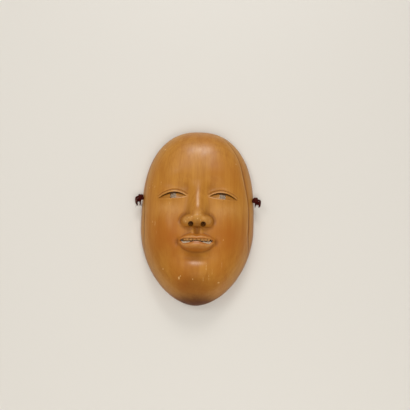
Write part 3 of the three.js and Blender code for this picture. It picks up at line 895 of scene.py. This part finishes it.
def add_wood_shades(obj):
    places = np.empty(3 * len(obj.data.vertices))
    obj.data.vertices.foreach_get("co", places)
    x, y, z = places.reshape(-1, 3).T / MM
    a = np.abs(x)
    under = front(x, y) - z
    at_front = under < 1
    on_face = smooth(0.995, 0.93, across_share(x, y)) * smooth(105, 96, np.abs(y))

    near, wide = standing(x, y, 1.6), standing(x, y, 6.0)
    recess = 0.7 * smooth(0.04, 0.55, -near) + 0.7 * smooth(0.1, 1.7, -wide)
    wear = smooth(0.12, 0.55, near) + 0.7 * smooth(0.7, 2.4, wide)
    # Paler upper cheeks and forehead: painted highlight where the light falls, with some wear
    highlight_and_wear = 0.8 * bump(a, 34, 17) * bump(y, 3, 9) + 0.25 * bump(a, 0, 40) * bump(y, 62, 26)

    on_tooth, tooth_line = tooth_places(x, y, z)
    in_slot = shaded_slot_wall(a, y, under) & ~on_tooth
    # Dark lines: ink, with painted shade under the upper lids and on the slot's upper wall
    lines = [lid_line_and_shade(a, y, under), tooth_line, 0.85 * in_slot, 0.9 * hair_line(x, y)]
    is_rim = [face.center.z < 0.01 * MM and face.normal.z < -0.9 for face in obj.data.polygons]

    add_shade(obj, "recess", recess * on_face * at_front)
    add_shade(obj, "wear", (wear + highlight_and_wear) * on_face * (under < 0.6))
    add_shade(obj, "line", np.maximum.reduce(lines))
    add_shade(obj, "inner", smooth(3.4, 4.6, under) * ~on_tooth)
    add_shade(obj, "rim", is_rim, "FACE")
    add_shade(obj, "tooth", on_tooth)
    add_shade(obj, "chin", chin_stain_and_shadow(x, y) * at_front)
    add_shade(obj, "blush_and_shade", blush_and_shade(x, y) * on_face)
    add_shade(obj, "chips", chips(x, y, z) * at_front)


# Materials
class Shader:
    """A material whose nodes are added and linked by short calls."""

    def __init__(self, name):
        self.material = bpy.data.materials.new(name)
        self.material.use_nodes = True
        self.tree = self.material.node_tree
        self.surface = self.tree.nodes["Principled BSDF"].inputs

    def feed(self, socket, value):
        if isinstance(value, bpy.types.NodeSocket):
            self.tree.links.new(value, socket)
        else:
            socket.default_value = value

    def node(self, kind, inputs, **settings):
        node = self.tree.nodes.new("ShaderNode" + kind)
        for name, value in settings.items():
            setattr(node, name, value)
        for name, value in inputs.items():
            self.feed(node.inputs[name], value)
        return node.outputs

    def place(self, scale, shift):
        """The point's own place on the object, in metres before the scale."""
        here = self.node("TexCoord", {})["Object"]
        return self.node("Mapping", {"Vector": here, "Scale": scale, "Location": shift})["Vector"]

    def noise(self, scale, detail, roughness, shift=(0, 0, 0)):
        inputs = {"Vector": self.place(scale, shift), "Scale": 1.0}
        inputs.update({"Detail": detail, "Roughness": roughness})
        return self.node("TexNoise", inputs)["Fac"]

    def kept(self, name):
        """The shade of this name that is kept with the mesh."""
        return self.node("Attribute", {}, attribute_name=name)["Fac"]

    def math(self, operation, first, second=0.0, third=0.0):
        return self.node("Math", {0: first, 1: second, 2: third}, operation=operation)["Value"]

    def times(self, first, second):
        return self.math("MULTIPLY", first, second)

    def scaled_onto(self, base, value, factor):
        """The base with the value added factor times."""
        return self.math("MULTIPLY_ADD", value, factor, base)

    def between(self, value, low, high, to_low=0.0, to_high=1.0):
        """A smooth change from one value to another as the input goes from low to high."""
        inputs = {"Value": value, "From Min": low, "From Max": high}
        inputs.update({"To Min": to_low, "To Max": to_high})
        return self.node("MapRange", inputs, interpolation_type="SMOOTHSTEP")["Result"]

    def mix(self, share, first, second):
        node = self.tree.nodes.new("ShaderNodeMix")
        node.data_type = "RGBA"
        self.feed(node.inputs["Factor"], share)
        self.feed(node.inputs["A"], first)
        self.feed(node.inputs["B"], second)
        return node.outputs["Result"]

    def bump(self, height, distance, strength):
        inputs = {"Height": height, "Distance": distance, "Strength": strength}
        return self.node("Bump", inputs)["Normal"]


# Colours of the wood, from the lightest grain to the grime, ink and painted shade, and the width of a
# year's ring
GOLD = (0.48, 0.205, 0.026, 1)
AMBER = (0.36, 0.128, 0.010, 1)
RUSSET = (0.37, 0.108, 0.008, 1)
UMBER = (0.175, 0.052, 0.005, 1)
WORN = (0.62, 0.34, 0.105, 1)
RAW = (0.74, 0.46, 0.18, 1)
INK_AND_SHADE = (0.042, 0.018, 0.008, 1)
STAIN_AND_SHADOW = (0.085, 0.018, 0.002, 1)
INSIDE = (0.21, 0.095, 0.032, 1)
RING_WIDTH = 0.0034


def year_rings(wood):
    """The late wood of each ring, from 0 to 1, around a heart that lies beside the mask."""
    from_heart = wood.place((1, 0, 1), (0.021, 0, 0.13))
    distance = wood.node("VectorMath", {0: from_heart}, operation="LENGTH")["Value"]
    wander = wood.times(wood.noise((26, 7, 26), 2, 0.5, (1, 8, 3)), 14)
    wave = wood.math("SINE", wood.scaled_onto(wander, distance, 2 * math.pi / RING_WIDTH))
    return wood.math("POWER", wood.scaled_onto(0.5, wave, 0.5), 2.6)


def wood_material():
    wood = Shader("waxed_cypress")
    fibre = wood.noise((620, 17, 620), 5, 0.62)
    streak = wood.noise((150, 6, 150), 3, 0.55, (4, 1, 2))
    patch = wood.noise((24, 13, 24), 3, 0.5, (9, 3, 5))
    rub = wood.between(wood.noise((300, 130, 300), 4, 0.6), 0.25, 0.75, 0.45, 1.0)
    mottle = wood.between(wood.noise((90, 60, 90), 4, 0.6, (2, 7, 1)), 0.3, 0.65, 0.8, 0.95)
    torn = wood.noise((1100, 420, 1100), 4, 0.65)
    late = year_rings(wood)

    tone = wood.scaled_onto(wood.between(fibre, 0.3, 0.72, 0, 0.38), late, 0.15)
    tone = wood.math("ADD", tone, wood.between(streak, 0.3, 0.7, -0.15, 0.42))
    reddened = wood.scaled_onto(wood.between(patch, 0.42, 0.72, 0, 0.5), wood.kept("blush_and_shade"), 0.5)
    rubbed_and_highlit = wood.times(wood.times(wood.kept("wear"), rub), 0.45)
    ragged = wood.scaled_onto(wood.kept("chips"), torn, 1.3)
    chipped = wood.times(wood.between(ragged, 1.0, 1.35), wood.between(wood.kept("chips"), 0.1, 0.4))
    behind = wood.math("MAXIMUM", wood.kept("inner"), wood.kept("rim"))

    colour = wood.mix(tone, GOLD, AMBER)
    # Redder wood, darker at the right temple as painted shade
    colour = wood.mix(reddened, colour, RUSSET)
    colour = wood.mix(wood.times(wood.kept("recess"), 0.62), colour, UMBER)
    # Wear on the ridges, and painted highlight on the upper cheeks and forehead
    colour = wood.mix(rubbed_and_highlit, colour, WORN)
    colour = wood.mix(wood.times(wood.kept("tooth"), 0.65), colour, WORN)
    # Chin stains, with painted shadow along the chin's end where it meets the floor
    colour = wood.mix(wood.times(wood.kept("chin"), mottle), colour, STAIN_AND_SHADOW)
    colour = wood.mix(wood.times(chipped, 0.7), colour, RAW)
    # Dark lines: ink, with painted shade under the upper lids and in the mouth's slot
    colour = wood.mix(wood.times(wood.kept("line"), 0.9), colour, INK_AND_SHADE)
    colour = wood.mix(behind, colour, wood.mix(tone, INSIDE, UMBER))
    wood.feed(wood.surface["Base Color"], colour)

    dullness = wood.between(fibre, 0.2, 0.8, 0.34, 0.46)
    dullness = wood.scaled_onto(dullness, behind, 0.28)
    dullness = wood.scaled_onto(dullness, wood.kept("recess"), 0.14)
    dullness = wood.scaled_onto(dullness, wood.kept("wear"), 0.12)
    dullness = wood.scaled_onto(dullness, wood.kept("chin"), 0.25)
    dullness = wood.scaled_onto(dullness, chipped, 0.3)
    wood.feed(wood.surface["Roughness"], dullness)
    wood.surface["Specular IOR Level"].default_value = 0.22
    wood.surface["Coat Weight"].default_value = 0.06
    wood.surface["Coat Roughness"].default_value = 0.25

    height = wood.scaled_onto(fibre, late, -0.15)
    height = wood.scaled_onto(height, chipped, -1.2)
    wood.feed(wood.surface["Normal"], wood.bump(height, 0.0001, 0.7))
    return wood.material


# Colours of the silk: lit on the braid's crowns, in painted shade between its strands, faded and pale
SILK = (0.047, 0.0028, 0.0016, 1)
SILK_SHADED = (0.015, 0.001, 0.0008, 1)
SILK_FADED = (0.11, 0.012, 0.008, 1)
FRAYED_AND_HIGHLIT = (0.30, 0.19, 0.15, 1)


def silk_material():
    silk = Shader("braided_silk")
    thread_noise = silk.noise((4200, 4200, 4200), 2, 0.5)
    faded = silk.between(silk.noise((90, 90, 90), 2, 0.5), 0.55, 0.8, 0, 0.25)
    on_crown = silk.between(silk.kept("crown"), 0.2, 0.9, 0, 0.8)
    lit = silk.scaled_onto(on_crown, silk.between(thread_noise, 0.3, 0.7), 0.35)

    # Painted shade between the strands, the lit colour on their crowns
    colour = silk.mix(lit, SILK_SHADED, SILK)
    colour = silk.mix(faded, colour, SILK_FADED)
    # Pale frayed threads, and rubbed silk with a painted highlight
    colour = silk.mix(silk.kept("frayed_and_highlit"), colour, FRAYED_AND_HIGHLIT)
    silk.feed(silk.surface["Base Color"], colour)
    silk.surface["Roughness"].default_value = 0.62
    silk.surface["Specular IOR Level"].default_value = 0.2
    silk.surface["Specular Tint"].default_value = (1, 0.45, 0.35, 1)
    silk.surface["Sheen Weight"].default_value = 0.06
    silk.surface["Sheen Roughness"].default_value = 0.4
    silk.surface["Sheen Tint"].default_value = (0.55, 0.16, 0.14, 1)
    silk.feed(silk.surface["Normal"], silk.bump(thread_noise, 0.00006, 0.5))
    return silk.material


# The four pieces and their materials
knots = [add_knot(name, look) for name, look in KNOTS.items()]
cord = add_cord()
mask = add_mask()
add_wood_shades(mask)
mask.data.materials.clear()
mask.data.materials.append(wood_material())
silk = silk_material()
for obj in [cord, *knots]:
    obj.data.materials.append(silk)
    obj.data.shade_smooth()


# Camera, floor and lights
PICTURE_PX = 410
PX_MM = 1.2135
AIM_RIGHT_PX, AIM_UP_PX = 7.5, 13.5
ELEVATION = math.radians(78)
ROLL = math.radians(1.7)
LENS, SENSOR = 85.0, 36.0


def add_camera():
    data = bpy.data.cameras.new("camera")
    data.lens, data.sensor_width = LENS, SENSOR
    data.clip_start, data.clip_end = 0.05, 20
    camera = bpy.data.objects.new("camera", data)
    bpy.context.scene.collection.objects.link(camera)
    bpy.context.scene.camera = camera
    back = Vector((0, -math.cos(ELEVATION), math.sin(ELEVATION)))
    turned = back.to_track_quat("Z", "Y") @ Quaternion((0, 0, 1), ROLL)
    right, up = turned @ Vector((1, 0, 0)), turned @ Vector((0, 1, 0))
    distance = PX_MM * MM * PICTURE_PX * LENS / SENSOR
    aim = (right * AIM_RIGHT_PX + up * AIM_UP_PX) * PX_MM * MM
    camera.location = aim + back * distance
    camera.rotation_euler = turned.to_euler()


FLOOR_HALF = 3000.0
PAPER = (0.685, 0.65, 0.59, 1)


def add_floor():
    ends = (-FLOOR_HALF, FLOOR_HALF)
    corners = [(x, y, 0) for y in ends for x in ends]
    floor = mesh_object("floor", corners, [[0, 1, 3, 2]])
    paper = bpy.data.materials.new("paper")
    paper.use_nodes = True
    paper.node_tree.nodes["Principled BSDF"].inputs["Base Color"].default_value = PAPER
    floor.data.materials.append(paper)


# Lamps, in metres and watts. The lamp called shine is seen only in the gloss of the wax, and two
# others aren't seen in it.
MASK_MIDDLE = (0, 0, 0.03)
DAYLIGHT = (1, 0.97, 0.92, 1)
DAYLIGHT_STRENGTH = 0.36
WARM = (1, 0.8, 0.6)


def add_area(name, place, aim, size, power, colour=(1, 1, 1)):
    data = bpy.data.lights.new(name, "AREA")
    data.shape = "RECTANGLE"
    data.size, data.size_y = size
    data.energy = power
    data.color = colour
    lamp = bpy.data.objects.new(name, data)
    bpy.context.scene.collection.objects.link(lamp)
    lamp.location = place
    lamp.rotation_euler = (Vector(place) - Vector(aim)).to_track_quat("Z", "Y").to_euler()
    lamp.visible_camera = False
    return lamp


def add_lights():
    above_forehead = (0.05, 2.0, 1.7)
    add_area("key", above_forehead, MASK_MIDDLE, (0.9, 0.7), 18)
    add_area("window", (-1.4, 1.0, 2.5), MASK_MIDDLE, (0.5, 0.9), 11)
    front_light = add_area("front_light", (0.1, -0.55, 1.25), (0, -0.25, 0), (0.9, 0.6), 7.5)
    overhead = add_area("overhead", (0, 0.3, 2.4), (0, 0, 0), (2.4, 2.4), 11)
    for lamp in (front_light, overhead):
        lamp.visible_glossy = False
    shine = add_area("shine", above_forehead, MASK_MIDDLE, (0.7, 0.5), 38)
    shine.visible_diffuse = False
    add_area("inside", MASK_MIDDLE, (0, 0, 0), (0.05, 0.1), 0.02, WARM)
    world = bpy.data.worlds.new("studio")
    bpy.context.scene.world = world
    world.use_nodes = True
    sky = world.node_tree.nodes["Background"].inputs
    sky["Color"].default_value = DAYLIGHT
    sky["Strength"].default_value = DAYLIGHT_STRENGTH


add_camera()
add_floor()
add_lights()
bpy.context.scene.view_settings.view_transform = "Standard"
